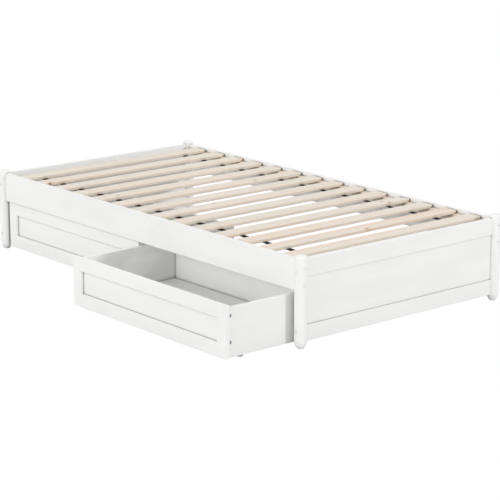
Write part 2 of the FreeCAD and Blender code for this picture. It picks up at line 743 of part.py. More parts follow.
def make_drawer_side(label, x, y, side):
    piece = board(label + "_board", "Y", "Sizes.box_depth", "Sizes.box_board", box_height,
                  "Sizes.box_edge_rounding")
    tools = [block("groove", "Sizes.box_groove_depth", "Sizes.box_depth", groove_height,
                   x=signed(-side, groove_middle), z=groove_level)]
    outer = signed(side, "Sizes.box_board / 2")
    inward = direction_of(-side, "X")
    for end in (-1, 1):
        along = signed(end, corner_screw_y)
        for height in corner_screw_levels:
            level = f"{height} - {box_middle_z}"
            tools.append(rod("screw_hole", "Sizes.screw_hole_diameter", "Sizes.box_board", inward, outer,
                             along, level))
            tools.append(rod("head_seat", "Sizes.screw_head_diameter", screw_sink, inward, outer,
                             along, level))
    piece = cut(label, piece, tools)
    place(piece, f"{x} + {signed(side, f'({box_width} - Sizes.box_board) / 2')}", y, box_middle_z)
    keep(piece, label)


def make_box_bottom(label, x, y):
    reach = "2 * (Sizes.box_groove_depth - Sizes.groove_slack)"
    bottom = block(label, f"({box_inner_width} + {reach})",
                   f"(Sizes.box_depth - 2 * Sizes.box_board + {reach})", "Sizes.box_bottom_thickness",
                   x, y, bottom_middle_z)
    keep(bottom, label)


def make_drawer_screws(label, x, front_y, middle_y):
    screws = []
    for side in (-1, 1):
        outer = signed(side, f"{box_width} / 2")
        seat = signed(side, f"{box_width} / 2 - {screw_sink}")
        for end in (-1, 1):
            along = signed(end, corner_screw_y)
            for height in corner_screw_levels:
                shank = rod("corner_shank", "Sizes.screw_diameter", f"Sizes.screw_length - {screw_sink}",
                            direction_of(-side, "X"), seat, along, height)
                head = rod("corner_head", "Sizes.screw_head_diameter", "Sizes.screw_head_height",
                           direction_of(side, "X"), seat, along, height)
                screws.append(join("corner_screw", [shank, head]))
    face = "Sizes.box_board - Sizes.box_depth / 2"
    for position, level in front_screw_places():
        shank = rod("front_shank", "Sizes.front_screw_diameter", "Sizes.front_screw_length", "-Y", position,
                    face, level)
        head = rod("front_head", "Sizes.front_screw_head", "Sizes.front_screw_head_height", "+Y", position,
                   face, level)
        screws.append(join("front_screw", [shank, head]))
    keep(place(group(label, screws), x, middle_y), label)


def caster_places():
    """The four caster places from the middle of a drawer's box, named by side and end."""
    across = f"({box_width} / 2 - {caster_side_inset})"
    along = "(Sizes.box_depth / 2 - Sizes.caster_end_inset)"
    places = []
    for end, end_name in ((-1, "front"), (1, "back")):
        for side, side_name in ((-1, "left"), (1, "right")):
            places.append((f"{end_name}_{side_name}", signed(side, across), signed(end, along)))
    return places


def make_bracket(x, y):
    """A folded steel fork: a plate with two legs that have round ends."""
    top = f"({box_bottom_height} - {axle_height})"
    leg_x = f"({bracket_half_width} - Sizes.bracket_sheet / 2)"
    width = f"(2 * {bracket_half_width})"
    solids = [block("plate", width, "Sizes.bracket_length", "Sizes.bracket_sheet",
                    z=f"{top} - Sizes.bracket_sheet / 2")]
    for side in (-1, 1):
        solids.append(block("leg", "Sizes.bracket_sheet", "2 * Sizes.bracket_leg_radius", top,
                            x=signed(side, leg_x), z=f"{top} / 2"))
        solids.append(rod("leg_end", "2 * Sizes.bracket_leg_radius", "Sizes.bracket_sheet", "+X",
                          x=f"{signed(side, leg_x)} - Sizes.bracket_sheet / 2"))
    hole = rod("axle_hole", "Sizes.axle_diameter", width, "+X", x=f"-{width} / 2")
    return place(cut("bracket", join("fork", solids), [hole]), x, y, axle_height)


def make_axle(x, y):
    solids = [rod("pin", "Sizes.axle_diameter", f"2 * {bracket_half_width}", "+X", f"-{bracket_half_width}")]
    for side in (-1, 1):
        solids.append(rod("pin_head", "Sizes.axle_head_diameter", "Sizes.axle_head_height",
                          direction_of(side, "X"), signed(side, bracket_half_width)))
    return place(join("axle", solids), x, y, axle_height)


def make_wheel(label, x, y):
    """A solid wheel with a rounded tread and a shallow dish in each side, bored for its axle."""
    body = doc.addObject("PartDesign::Body", label + "_tread")
    sketch = new_sketch(body, "YZ_Plane")
    radius = sizes["wheel_diameter"] / 2
    rim = sketch.addGeometry(Part.Circle(Vector(), Vector(0, 0, 1), radius))
    sketch.addConstraint(Sketcher.Constraint("Coincident", rim, 3, -1, 1))
    dimension(sketch, "Diameter", (rim,), 2 * radius, "Sizes.wheel_diameter")
    pad = body.newObject("PartDesign::Pad", label + "_pad")
    pad.Profile = sketch
    pad.SideType = "Symmetric"
    bind(pad, Length="Sizes.wheel_width")
    doc.recompute()
    edges = [f"Edge{number}" for number, edge in enumerate(pad.Shape.Edges, start=1)
             if edge.BoundBox.XLength < 0.01]
    rounding = body.newObject("PartDesign::Fillet", label + "_rounding")
    rounding.Base = (pad, edges)
    bind(rounding, Radius="Sizes.wheel_rounding")
    bore = "Sizes.axle_diameter + 2 * Sizes.axle_running_gap"
    tools = [rod("axle_bore", bore, "Sizes.wheel_width", "+X", x="-Sizes.wheel_width / 2")]
    for side in (-1, 1):
        start = signed(side, "Sizes.wheel_width / 2")
        direction = direction_of(-side, "X")
        dish_diameter = "Sizes.wheel_diameter - 2 * Sizes.wheel_rim"
        dish = rod("dish", dish_diameter, "Sizes.wheel_web_depth", direction, start)
        hub = rod("hub", "Sizes.wheel_hub_diameter", "Sizes.wheel_web_depth", direction, start)
        tools.append(cut("dish_ring", dish, [hub]))
    wheel = cut(label, body, tools)
    keep(place(wheel, x, y, axle_height), label)


def make_drawer(name, end, opened):
    x = signed(end, drawer_x)
    face_y = f"({bed_y} - {front_face_y} - {opened})"
    box_front_y = f"({face_y} + Sizes.front_thickness)"
    middle_y = f"({box_front_y} + Sizes.box_depth / 2)"
    make_front(f"{name}_drawer_front", x, face_y)
    make_cross_board(f"{name}_drawer_inner_front", x, f"{box_front_y} + Sizes.box_board / 2", 1)
    make_cross_board(f"{name}_drawer_back", x, f"{box_front_y} + Sizes.box_depth - Sizes.box_board / 2", -1)
    make_drawer_side(f"{name}_drawer_left_side", x, middle_y, -1)
    make_drawer_side(f"{name}_drawer_right_side", x, middle_y, 1)
    make_box_bottom(f"{name}_drawer_bottom", x, middle_y)
    make_drawer_screws(f"{name}_drawer_screws", x, box_front_y, middle_y)
    places = caster_places()
    brackets = group(f"{name}_caster_brackets", [make_bracket(across, along) for _, across, along in places])
    keep(place(brackets, x, middle_y), f"{name}_caster_brackets")
    axles = group(f"{name}_caster_axles", [make_axle(across, along) for _, across, along in places])
    keep(place(axles, x, middle_y), f"{name}_caster_axles")
    for place_name, across, along in places:
        make_wheel(f"{name}_wheel_{place_name}", f"{x} + {across}", f"{middle_y} + {along}")


for end, end_name in ((-1, "head"), (1, "foot")):
    for side, side_name in ((-1, "drawer_side"), (1, "wall_side")):
        make_post(f"{end_name}_post_{side_name}", end, side)
    make_end_boards(end_name, end)
for side, side_name in ((-1, "drawer_side"), (1, "wall_side")):
    make_side_rail(f"side_rail_{side_name}", side)
    make_cleat(f"slat_cleat_{side_name}", side)
make_cleat_screws()
for index in range(slat_count):
    make_slat(index)
make_straps()
make_bed_hardware()
make_dowels()
make_drawer("head", -1, "0")
make_drawer("foot", 1, "Sizes.drawer_open")
doc.recompute()

for thing in doc.Objects:
    if "Invalid" in thing.State or "Error" in thing.State:
        raise RuntimeError(f"{thing.Label} failed: {thing.State}")
for part in sub_parts:
    if part.Shape.isNull() or not part.Shape.isValid() or not part.Shape.Solids:
        raise RuntimeError(f"{part.Label} has no valid solid")

os.makedirs("parts", exist_ok=True)
for part in sub_parts:
    part.Shape.exportStep(f"parts/{part.Label}.step")
print(f"{len(sub_parts)} sub-parts written")
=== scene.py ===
import json
import math

import bmesh
import bpy
from mathutils import Matrix, Vector


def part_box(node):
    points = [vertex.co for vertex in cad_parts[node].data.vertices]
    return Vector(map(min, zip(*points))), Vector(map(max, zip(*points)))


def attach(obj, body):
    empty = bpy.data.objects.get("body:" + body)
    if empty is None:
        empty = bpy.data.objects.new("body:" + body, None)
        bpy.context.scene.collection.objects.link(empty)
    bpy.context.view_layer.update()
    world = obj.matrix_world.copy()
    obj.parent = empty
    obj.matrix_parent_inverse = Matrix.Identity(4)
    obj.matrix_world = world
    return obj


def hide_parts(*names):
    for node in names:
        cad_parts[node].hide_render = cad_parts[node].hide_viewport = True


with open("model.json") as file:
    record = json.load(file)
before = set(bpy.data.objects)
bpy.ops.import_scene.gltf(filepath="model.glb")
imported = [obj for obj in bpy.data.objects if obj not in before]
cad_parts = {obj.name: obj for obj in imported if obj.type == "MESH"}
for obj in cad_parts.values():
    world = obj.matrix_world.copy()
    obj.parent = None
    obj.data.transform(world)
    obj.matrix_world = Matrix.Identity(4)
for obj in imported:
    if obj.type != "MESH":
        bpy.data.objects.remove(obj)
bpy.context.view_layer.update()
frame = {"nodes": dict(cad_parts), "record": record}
nodes = frame["nodes"]
slotOf = {part["node"]: part["material_slot"] for part in frame["record"]["subparts"]}
print("frame loaded:", len(nodes), "nodes")


def rgb(red, green, blue):
    # a screen colour, 0 to 255, as the linear colour that a shader takes
    linear = [((part / 255 + 0.055) / 1.055) ** 2.4 for part in (red, green, blue)]
    return (*linear, 1.0)


# The camera looks at the foot end and the drawer side from a little above

cameraSettings = {
    "place": (6.0598, -4.8678, 2.1072),
    "tiltDown": 14.334,      # degrees below the horizon
    "turn": 49.989,          # degrees round Z
    "lens": 140.44,
}


def makeCamera(look):
    data = bpy.data.cameras.new("camera")
    data.lens = look["lens"]
    data.sensor_width = 36
    data.clip_start = 0.1
    data.clip_end = 200
    camera = bpy.data.objects.new("camera", data)
    camera.location = look["place"]
    camera.rotation_euler = (math.radians(90 - look["tiltDown"]), 0, math.radians(look["turn"]))
    bpy.context.scene.collection.objects.link(camera)
    bpy.context.scene.camera = camera


makeCamera(cameraSettings)


# One shader with short calls for what the finishes share

class Shader:
    def __init__(self, name):
        self.material = bpy.data.materials.new(name)
        self.material.use_nodes = True
        self.tree = self.material.node_tree
        self.tree.nodes.clear()
        self.output = self.add("ShaderNodeOutputMaterial")
        self.surface = self.add("ShaderNodeBsdfPrincipled")
        self.link(self.surface.outputs["BSDF"], self.output.inputs["Surface"])
        self.place = self.add("ShaderNodeTexCoord").outputs["Object"]

    def add(self, kind, **settings):
        node = self.tree.nodes.new(kind)
        for key, value in settings.items():
            setattr(node, key, value)
        return node

    def link(self, source, target):
        self.tree.links.new(source, target)

    def feed(self, socket, value):
        # an output is linked, and anything else is set as the socket's own value
        if isinstance(value, bpy.types.NodeSocket):
            self.link(value, socket)
        else:
            socket.default_value = value

    def mapping(self, vector, scale=(1, 1, 1), turn=(0, 0, 0), shift=(0, 0, 0)):
        node = self.add("ShaderNodeMapping")
        self.feed(node.inputs["Vector"], vector)
        node.inputs["Scale"].default_value = scale
        node.inputs["Rotation"].default_value = [math.radians(angle) for angle in turn]
        node.inputs["Location"].default_value = shift
        return node.outputs["Vector"]

    def noise(self, vector, scale=1.0, detail=3.0, rough=0.5, distortion=0.0):
        node = self.add("ShaderNodeTexNoise")
        self.feed(node.inputs["Vector"], vector)
        node.inputs["Scale"].default_value = scale
        node.inputs["Detail"].default_value = detail
        node.inputs["Roughness"].default_value = rough
        node.inputs["Distortion"].default_value = distortion
        return node.outputs["Fac"]

    def random(self, number):
        # three random numbers, 0 to 1, that depend on one number
        node = self.add("ShaderNodeTexWhiteNoise", noise_dimensions="1D")
        self.feed(node.inputs["W"], number)
        return node.outputs["Color"]

    def wave(self, value, length):
        # 1 to 0 and back, once in each length
        turns = self.math("MULTIPLY", value, math.tau / length)
        return self.math("MULTIPLY_ADD", self.math("COSINE", turns), 0.5, 0.5)

    def math(self, operation, first, second=0.0, third=0.0):
        node = self.add("ShaderNodeMath", operation=operation)
        for socket, value in zip(node.inputs, (first, second, third)):
            self.feed(socket, value)
        return node.outputs[0]

    def vectorMath(self, operation, first, second=(0, 0, 0)):
        node = self.add("ShaderNodeVectorMath", operation=operation)
        self.feed(node.inputs[0], first)
        self.feed(node.inputs[1], second)
        return node.outputs["Value" if operation == "LENGTH" else "Vector"]

    def split(self, vector):
        node = self.add("ShaderNodeSeparateXYZ")
        self.link(vector, node.inputs[0])
        return node.outputs["X"], node.outputs["Y"], node.outputs["Z"]

    def combine(self, x, y, z):
        node = self.add("ShaderNodeCombineXYZ")
        for socket, value in zip(node.inputs, (x, y, z)):
            self.feed(socket, value)
        return node.outputs["Vector"]

    def span(self, value, low, high, toLow=0.0, toHigh=1.0):
        # low to high becomes toLow to toHigh, smooth, and held at both ends
        node = self.add("ShaderNodeMapRange", interpolation_type="SMOOTHSTEP")
        for key, number in (("Value", value), ("From Min", low), ("From Max", high),
                            ("To Min", toLow), ("To Max", toHigh)):
            self.feed(node.inputs[key], number)
        return node.outputs["Result"]

    def blend(self, amount, first, second):
        # the colour sockets of a mix node are numbered after those for numbers and vectors
        node = self.add("ShaderNodeMix", data_type="RGBA")
        self.feed(node.inputs[0], amount)
        self.feed(node.inputs[6], first)
        self.feed(node.inputs[7], second)
        return node.outputs[2]

    def faceDirection(self):
        # the X, Y and Z of the way the surface faces
        return self.split(self.add("ShaderNodeNewGeometry").outputs["Normal"])

    def cornerShade(self, reach, strength):
        # painted shade: 0 in the open, and up to the strength in corners, joints and gaps
        node = self.add("ShaderNodeAmbientOcclusion", samples=8)
        node.inputs["Distance"].default_value = reach
        shut, clear = 0.25, 0.95
        return self.span(node.outputs["AO"], shut, clear, strength, 0)

    def bump(self, height, distance, under=None):
        node = self.add("ShaderNodeBump")
        node.inputs["Distance"].default_value = distance
        self.feed(node.inputs["Height"], height)
        if under is not None:
            self.link(under, node.inputs["Normal"])
        return node.outputs["Normal"]

    def finish(self, colour, roughness, normal, **sockets):
        self.feed(self.surface.inputs["Base Color"], colour)
        self.feed(self.surface.inputs["Roughness"], roughness)
        self.link(normal, self.surface.inputs["Normal"])
        for key, value in sockets.items():
            self.feed(self.surface.inputs[key.replace("_", " ")], value)
        return self.material


# Pale floor, even sky and three soft suns

studio = {
    "floorSize": 60,
    "floorColour": rgb(212, 212, 212),
    "floorGlow": 0.985,          # how much of the floor's look is an even white
    "floorWhite": 1.03,
    "floorGrit": 900, "floorGritDepth": 0.0001, "floorPatch": 6, "floorGloss": (0.75, 0.85),
    "skyStrength": 0.66,
    "keyStrength": 1.20, "keySoftness": 26, "keyFrom": (0.05, -1.0, 0.36),
    "endStrength": 1.02, "endSoftness": 6, "endFrom": (0.90, 0.38, 0.28),
    "backStrength": 0.60, "backSoftness": 40, "backFrom": (-0.5, 0.6, 0.9),
}
bpy.context.scene.view_settings.view_transform = "Standard"


def makeFloor(look):
    shape = bmesh.new()
    bmesh.ops.create_grid(shape, x_segments=1, y_segments=1, size=look["floorSize"] / 2)
    mesh = bpy.data.meshes.new("floor")
    shape.to_mesh(mesh)
    shape.free()
    floor = bpy.data.objects.new("floor", mesh)
    bpy.context.scene.collection.objects.link(floor)
    shader = Shader("paleFloor")
    grit = shader.noise(shader.place, look["floorGrit"])
    patch = shader.noise(shader.place, look["floorPatch"])
    roughness = shader.span(patch, 0.3, 0.7, *look["floorGloss"])
    shader.finish(look["floorColour"], roughness, shader.bump(grit, look["floorGritDepth"]))
    glow = shader.add("ShaderNodeEmission")
    glow.inputs["Strength"].default_value = look["floorWhite"]
    seen = shader.add("ShaderNodeLightPath").outputs["Is Camera Ray"]
    mix = shader.add("ShaderNodeMixShader")
    shader.link(shader.math("MULTIPLY", seen, look["floorGlow"]), mix.inputs["Fac"])
    shader.link(shader.surface.outputs["BSDF"], mix.inputs[1])
    shader.link(glow.outputs["Emission"], mix.inputs[2])
    shader.link(mix.outputs["Shader"], shader.output.inputs["Surface"])
    mesh.materials.append(shader.material)


def makeSky(look):
    world = bpy.data.worlds.new("studioSky")
    bpy.context.scene.world = world
    world.use_nodes = True
    tree = world.node_tree
    tree.nodes.clear()
    light = tree.nodes.new("ShaderNodeBackground")
    light.inputs["Color"].default_value = (1, 1, 1, 1)
    light.inputs["Strength"].default_value = look["skyStrength"]
    backdrop = tree.nodes.new("ShaderNodeBackground")
    backdrop.inputs["Color"].default_value = (1, 1, 1, 1)
    seen = tree.nodes.new("ShaderNodeLightPath")
    mix = tree.nodes.new("ShaderNodeMixShader")
    output = tree.nodes.new("ShaderNodeOutputWorld")
    tree.links.new(seen.outputs["Is Camera Ray"], mix.inputs["Fac"])
    tree.links.new(light.outputs["Background"], mix.inputs[1])
    tree.links.new(backdrop.outputs["Background"], mix.inputs[2])
    tree.links.new(mix.outputs["Shader"], output.inputs["Surface"])


def makeSun(name, strength, softness, comesFrom):
    data = bpy.data.lights.new(name, "SUN")
    data.energy = strength
    data.angle = math.radians(softness)
    light = bpy.data.objects.new(name, data)
    light.rotation_euler = Vector(comesFrom).to_track_quat("Z", "Y").to_euler()
    bpy.context.scene.collection.objects.link(light)


makeFloor(studio)
makeSky(studio)
for light in ("key", "end", "back"):
    makeSun(light + "Sun", studio[light + "Strength"], studio[light + "Softness"], studio[light + "From"])
print("studio made")


# Painted boards: two close whites, brush drag along the board, a fine film texture, shade in corners and gaps

paintLook = {
    "frameWhite": (rgb(242, 242, 241), rgb(238, 238, 237)),
    "boxWhite": (rgb(240, 241, 239), rgb(236, 237, 235)),
    "cloudScale": (9, 9, 2.2),
    "brushPitch": 0.0011, "brushAlong": 7, "brushDepth": 0.00006,
    "filmGrain": 0.0016, "filmDepth": 0.00005,
    "fleck": rgb(214, 213, 208), "fleckScale": 420, "fleckShow": 0.12,
    "gloss": (0.42, 0.55),
    "specular": 0.38, "coat": 0.06, "coatRoughness": 0.3,
    # painted shade in corners, joints and gaps of the white boards
    "cornerShade": rgb(122, 121, 115), "cornerShadeReach": 0.013, "cornerShadeShow": 0.74,
    "gapShade": rgb(62, 62, 59), "gapShadeReach": 0.006, "gapShadeShow": 0.9,      # painted shade, on upward faces in narrow gaps only
    "floorFade": (0.008, 0.030),     # heights between which the painted shade fades out towards the floor
    # turns that lay the brush along X, Y and Z
    "grainAlong": (0, 90, 0), "grainAcross": (-90, 0, 0), "grainUpright": (0, 0, 0),
}


def makePaint(name, look, whites, grainTurn):
    shader = Shader(name)
    board = shader.mapping(shader.place, turn=grainTurn)
    brushAcross = 1 / look["brushPitch"]
    cloud = shader.noise(shader.mapping(board, scale=look["cloudScale"]), 1, 4, 0.6)
    brushScale = (brushAcross, brushAcross, look["brushAlong"])
    brush = shader.noise(shader.mapping(board, scale=brushScale), 1, 2, 0.55)
    film = shader.noise(board, 1 / look["filmGrain"], 3, 0.6)
    colour = shader.blend(shader.span(cloud, 0.35, 0.65), *whites)
    fleck = shader.span(shader.noise(board, look["fleckScale"], 2), 0.70, 0.78, 0.0, look["fleckShow"])
    colour = shader.blend(fleck, colour, look["fleck"])

    # painted shade in corners and joints, faded out near the floor
    aboveFloor = shader.span(shader.split(shader.place)[2], *look["floorFade"])
    shade = shader.cornerShade(look["cornerShadeReach"], look["cornerShadeShow"])
    colour = shader.blend(shader.math("MULTIPLY", shade, aboveFloor), colour, look["cornerShade"])
    # a darker painted shade on upward faces in narrow gaps, such as a drawer front's top under a rail
    upward = shader.span(shader.faceDirection()[2], 0.7, 0.95)
    gapShade = shader.math("MULTIPLY", shader.cornerShade(look["gapShadeReach"], look["gapShadeShow"]), upward)
    colour = shader.blend(shader.math("MULTIPLY", gapShade, aboveFloor), colour, look["gapShade"])

    normal = shader.bump(brush, look["brushDepth"])
    normal = shader.bump(film, look["filmDepth"], normal)
    return shader.finish(colour, shader.span(brush, 0.3, 0.7, *look["gloss"]), normal,
                         Specular_IOR_Level=look["specular"], Coat_Weight=look["coat"],
                         Coat_Roughness=look["coatRoughness"])


# Bare softwood: rings round an unseen pith give each slat its own figure

woodLook = {
    "pale": rgb(233, 226, 215), "blush": rgb(236, 218, 203), "cool": rgb(227, 223, 211),
    "bandScale": (26, 0.9, 26), "castScale": (14, 1.3, 14), "castShift": (5, 3, 1),
    # a warmer, darker tint on the slats' side faces: partly the edge grain's own colour, partly painted shade
    "edge": rgb(229, 200, 172), "sideTintAndShadeShow": 0.18,
    "late": rgb(205, 180, 151), "knot": rgb(128, 88, 60),
    "ringWidth": 0.0031, "ringShow": 0.30,
    "wander": 0.016, "wanderScale": (5, 1.6, 5),    # how far the rings stray along a slat
    "lean": 0.05,                # how much the pith leans along a slat
    "pithAcross": 0.11, "pithBelow": (0.02, 0.09),
    "apart": (31, 47, 23),       # sets the slats' patterns apart from each other
    "streakScale": (240, 2.2, 240),
    "fibreScale": (1500, 26, 1500), "fibreShow": 0.22, "fibreDepth": 0.00010, "ringDepth": 0.00006,
    "gloss": (0.62, 0.78), "specular": 0.25,
    "shadow": rgb(150, 122, 96), "shadowReach": 0.030, "shadowShow": 0.40,
    "knotShape": (1.0, 0.7, 0.25), "knotSwirl": 0.006, "knotHalo": 0.35, "knotShow": 0.92,
    # number of the slat, metres across from its middle, metres along in the frame's Y, radius in metres
    "knots": ((11, -0.029, 0.612, 0.0045), (11, -0.010, 0.634, 0.0035), (11, 0.028, 0.534, 0.0050),
              (11, -0.007, 0.523, 0.0040), (2, 0.031, -0.312, 0.0065), (2, 0.024, -0.114, 0.0030),
              (13, 0.026, 0.159, 0.0060), (3, -0.009, 0.016, 0.0030), (6, 0.018, 0.390, 0.0050),
              (8, -0.022, -0.020, 0.0050), (5, 0.012, -0.230, 0.0040)),
}


def slatRow():
    # the first slat's middle, the pitch and the height of the slats' tops
    low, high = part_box("slat_01")
    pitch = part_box("slat_02")[0].x - low.x
    return (low.x + high.x) / 2, pitch, high.z


def makeSlatWood(look, name="slatWood", turn=(0, 0, 0)):
    firstX, pitch, topZ = slatRow()
    shader = Shader(name)
    place = shader.mapping(shader.place, turn=turn)
    x, y, z = shader.split(place)
    fromFirst = shader.math("SUBTRACT", x, firstX)
    number = shader.math("ROUND", shader.math("DIVIDE", fromFirst, pitch))
    across = shader.math("SUBTRACT", fromFirst, shader.math("MULTIPLY", number, pitch))
    chance = shader.random(number)
    one, two, three = shader.split(chance)
    local = shader.combine(across, y, z)
    own = shader.vectorMath("ADD", local, shader.vectorMath("MULTIPLY", chance, look["apart"]))

    nearest = 9.0                # how far the nearest knot is, in its own radii
    for slat, knotAcross, knotAlong, size in look["knots"]:
        middle = (firstX + pitch * (slat - 1) + knotAcross, knotAlong, topZ)
        scale = [share / size for share in look["knotShape"]]
        shift = [-value * factor for value, factor in zip(middle, scale)]
        away = shader.vectorMath("LENGTH", shader.mapping(place, scale=scale, shift=shift))
        nearest = shader.math("MINIMUM", away, nearest)
    swirl = shader.math("MULTIPLY", shader.span(nearest, 0.5, 6, 1, 0), look["knotSwirl"])

    stray = shader.noise(shader.mapping(own, scale=look["wanderScale"]), 1, 3, 0.5)
    stray = shader.math("MULTIPLY_ADD", stray, look["wander"], swirl)
    lean = shader.math("MULTIPLY", y, look["lean"])
    tilt = shader.math("MULTIPLY", shader.math("SUBTRACT", three, 0.5), lean)
    low, high = look["pithBelow"]
    pithX = shader.math("MULTIPLY", shader.math("SUBTRACT", one, 0.5), look["pithAcross"] * 2)
    pithZ = shader.math("MULTIPLY_ADD", two, high - low, low - topZ)
    sideways = shader.math("ADD", shader.math("ADD", across, pithX), stray)
    upwards = shader.math("ADD", shader.math("ADD", z, pithZ), tilt)
    fromPith = shader.vectorMath("LENGTH", shader.combine(sideways, upwards, 0.0))
    ring = shader.math("FRACT", shader.math("DIVIDE", fromPith, look["ringWidth"]))
    late = shader.math("MULTIPLY", shader.span(ring, 0.35, 0.90), shader.span(ring, 0.92, 1.0, 1, 0))

    band = shader.noise(shader.mapping(own, scale=look["bandScale"]), 1, 2, 0.5)
    cast = shader.noise(shader.mapping(own, scale=look["castScale"], shift=look["castShift"]), 1, 2, 0.5)
    fibre = shader.noise(shader.mapping(own, scale=look["fibreScale"]), 1, 3, 0.6)
    streak = shader.noise(shader.mapping(own, scale=look["streakScale"]), 1, 3, 0.6)
    colour = shader.blend(shader.span(band, 0.42, 0.68), look["pale"], look["blush"])
    colour = shader.blend(shader.span(cast, 0.46, 0.66), colour, look["cool"])
    ringShow = shader.span(streak, 0.2, 0.8, look["ringShow"] * 0.5, look["ringShow"])
    colour = shader.blend(shader.math("MULTIPLY", late, ringShow), colour, look["late"])
    colour = shader.blend(shader.span(fibre, 0.35, 0.8, 0, look["fibreShow"]), colour, look["late"])
    colour = shader.blend(shader.span(nearest, 0.9, 3.2, look["knotHalo"], 0), colour, look["late"])
    colour = shader.blend(shader.span(nearest, 0.55, 1.1, look["knotShow"], 0), colour, look["knot"])
    # side faces warmer and darker: partly the edge grain's own colour, partly painted shade
    sideTintAndShade = shader.span(shader.math("ABSOLUTE", shader.faceDirection()[0]), 0.6, 0.95, 0, look["sideTintAndShadeShow"])
    colour = shader.blend(sideTintAndShade, colour, look["edge"])
    colour = shader.blend(shader.cornerShade(look["shadowReach"], look["shadowShow"]), colour, look["shadow"])
    normal = shader.bump(fibre, look["fibreDepth"])
    normal = shader.bump(late, look["ringDepth"], normal)
    return shader.finish(colour, shader.span(fibre, 0.3, 0.8, *look["gloss"]), normal,
                         Specular_IOR_Level=look["specular"])


# Small hardware finishes

hardwareLook = {
    "webbing": (rgb(34, 29, 25), rgb(19, 16, 14)), "webbingGloss": (0.85, 0.70),
    "webbingPitch": 0.0016, "webbingDepth": 0.00022,
    "fuzz": rgb(48, 43, 38), "fuzzScale": 2600, "fuzzShow": 0.3, "fuzzDepth": 0.00004,
    "steel": (rgb(176, 178, 180), rgb(150, 152, 156)), "steelGloss": (0.28, 0.46),
    "steelPatch": 190, "steelPatchDepth": 0.00004,
    "steelLines": (300, 3600, 3600), "steelLineDepth": 0.00002,
    "cap": (rgb(236, 236, 234), rgb(230, 230, 228)), "capGloss": (0.22, 0.34), "capSpecular": 0.5,
    "nylon": (rgb(226, 226, 224), rgb(216, 217, 216)), "nylonGloss": (0.38, 0.52), "nylonSpecular": 0.4,
    "creaseShade": rgb(140, 139, 134), "creaseShadeReach": 0.004, "creaseShadeShow": 0.8,      # painted shade in creases, on both plastics
    "flowScale": 60, "flowDepth": 0.00008, "grainScale": 2400, "grainDepth": 0.00002,
    "dowel": (rgb(214, 178, 134), rgb(186, 145, 101)), "dowelRoughness": 0.7,
    "dowelFleck": (700, 700, 260), "dowelFleckDepth": 0.00006, "dowelTone": 30,
    "webbingSpecular": 0.2, "dowelSpecular": 0.25,
}


def makeWebbing(look):
    # rows of cords along the strap, each row's floats half a float on from the last one's
    shader = Shader("strapWebbing")
    x, y = shader.split(shader.place)[:2]
    pitch = look["webbingPitch"]
    floatLength = pitch * 1.5
    row = shader.math("ROUND", shader.math("DIVIDE", y, pitch))
    warp = shader.wave(y, pitch)
    weft = shader.wave(shader.math("MULTIPLY_ADD", row, floatLength / 2, x), floatLength)
    weave = shader.math("MULTIPLY", warp, weft)
    fuzz = shader.noise(shader.place, look["fuzzScale"], 2)
    light, dark = look["webbing"]
    colour = shader.blend(shader.span(weave, 0.05, 0.8), dark, light)
    colour = shader.blend(shader.span(fuzz, 0.5, 0.8, 0, look["fuzzShow"]), colour, look["fuzz"])
    normal = shader.bump(fuzz, look["fuzzDepth"], shader.bump(weave, look["webbingDepth"]))
    return shader.finish(colour, shader.span(weave, 0, 1, *look["webbingGloss"]), normal,
                         Specular_IOR_Level=look["webbingSpecular"])


def makeMoulded(name, look, key):
    # moulded plastic: a faint flow mottle, a fine matt grain and painted shade in creases
    shader = Shader(name)
    flow = shader.noise(shader.place, look["flowScale"], 3, 0.55, 0.6)
    grain = shader.noise(shader.place, look["grainScale"], 2)
    colour = shader.blend(shader.span(flow, 0.3, 0.7), *look[key])
    # painted shade in creases and round rims
    colour = shader.blend(shader.cornerShade(look["creaseShadeReach"], look["creaseShadeShow"]), colour, look["creaseShade"])
    normal = shader.bump(grain, look["grainDepth"], shader.bump(flow, look["flowDepth"]))
    return shader.finish(colour, shader.span(grain, 0.3, 0.7, *look[key + "Gloss"]), normal,
                         Specular_IOR_Level=look[key + "Specular"])


def makeSteel(look):
    # zinc plate: cloudy bright patches with fine drawn lines
    shader = Shader("platedSteel")
    patch = shader.noise(shader.place, look["steelPatch"], 4, 0.6, 1.2)
    lines = shader.noise(shader.mapping(shader.place, scale=look["steelLines"]), 1, 2)
    colour = shader.blend(shader.span(patch, 0.35, 0.65), *look["steel"])
    normal = shader.bump(lines, look["steelLineDepth"], shader.bump(patch, look["steelPatchDepth"]))
    return shader.finish(colour, shader.span(patch, 0.3, 0.7, *look["steelGloss"]), normal, Metallic=1.0)


def makeDowelWood(look):
    shader = Shader("dowelWood")
    fleck = shader.noise(shader.mapping(shader.place, scale=look["dowelFleck"]), 1, 3, 0.6)
    tone = shader.noise(shader.place, look["dowelTone"], 2)
    colour = shader.blend(shader.span(shader.math("ADD", fleck, tone), 0.8, 1.3), *look["dowel"])
    return shader.finish(colour, look["dowelRoughness"], shader.bump(fleck, look["dowelFleckDepth"]),
                         Specular_IOR_Level=look["dowelSpecular"])


def wear(names, material):
    # puts a finish on CAD nodes
    for name in names:
        mesh = nodes[name].data
        mesh.materials.clear()
        mesh.materials.append(material)


def named(word):
    return [name for name in nodes if word in name]


def longestAxis(size):
    return max(range(3), key=lambda axis: size[axis])


def paintBoards(look):
    # the brush follows each board's longest side
    for slot, label in (("white_paint", "frame"), ("drawer_paint", "box")):
        groups = {"Upright": [], "Along": [], "Across": []}
        for name in nodes:
            if slotOf[name] == slot:
                low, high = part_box(name)
                groups[("Along", "Across", "Upright")[longestAxis(high - low)]].append(name)
        for key, names in groups.items():
            if names:
                wear(names, makePaint(f"{label}Paint{key}", look, look[label + "White"], look["grain" + key]))


